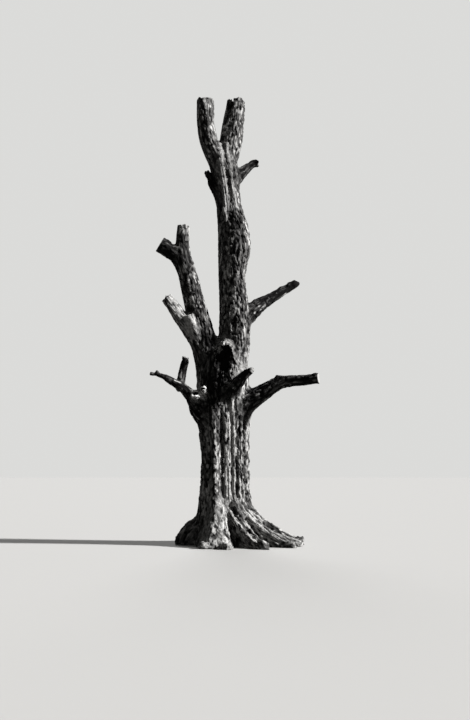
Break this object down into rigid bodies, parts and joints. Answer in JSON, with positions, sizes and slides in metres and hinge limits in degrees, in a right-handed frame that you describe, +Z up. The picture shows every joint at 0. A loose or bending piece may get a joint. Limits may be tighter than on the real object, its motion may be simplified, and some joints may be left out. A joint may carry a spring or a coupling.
{
  "type": "dead tree",
  "caption": "Dead topped tree standing bare: a fluted trunk on spreading roots, an upright leader with a forked top, a leaning left stem and short sawn or snapped stubs.",
  "frame": {"origin": "middle of the flat cut at ground level under the trunk", "axes": "+Z up along the trunk, +X towards the long low bough on the right, +Y towards the back, away from the viewer"},
  "size_m": [3.2712, 2.4935, 9.0549],
  "materials": {
    "bark": "weathered, fissured bark with bare patches",
    "bare_wood": "weathered silver-grey sapwood"
  },
  "bodies": {
    "root": {"trunk": "bark", "leader": "bark", "left_stem": "bark", "right_crown_bough": "bark", "top_left_prong": "bark", "top_right_prong": "bark", "top_right_stub": "bark", "top_left_stub": "bark", "left_stem_sawn_fork": "bark", "left_stem_stub": "bark", "right_low_bough": "bark", "left_low_bough": "bark", "left_upright_stub": "bark", "front_stub": "bark", "hollow_knot": "bare_wood", "split_knot": "bare_wood"}
  },
  "joints": []
}
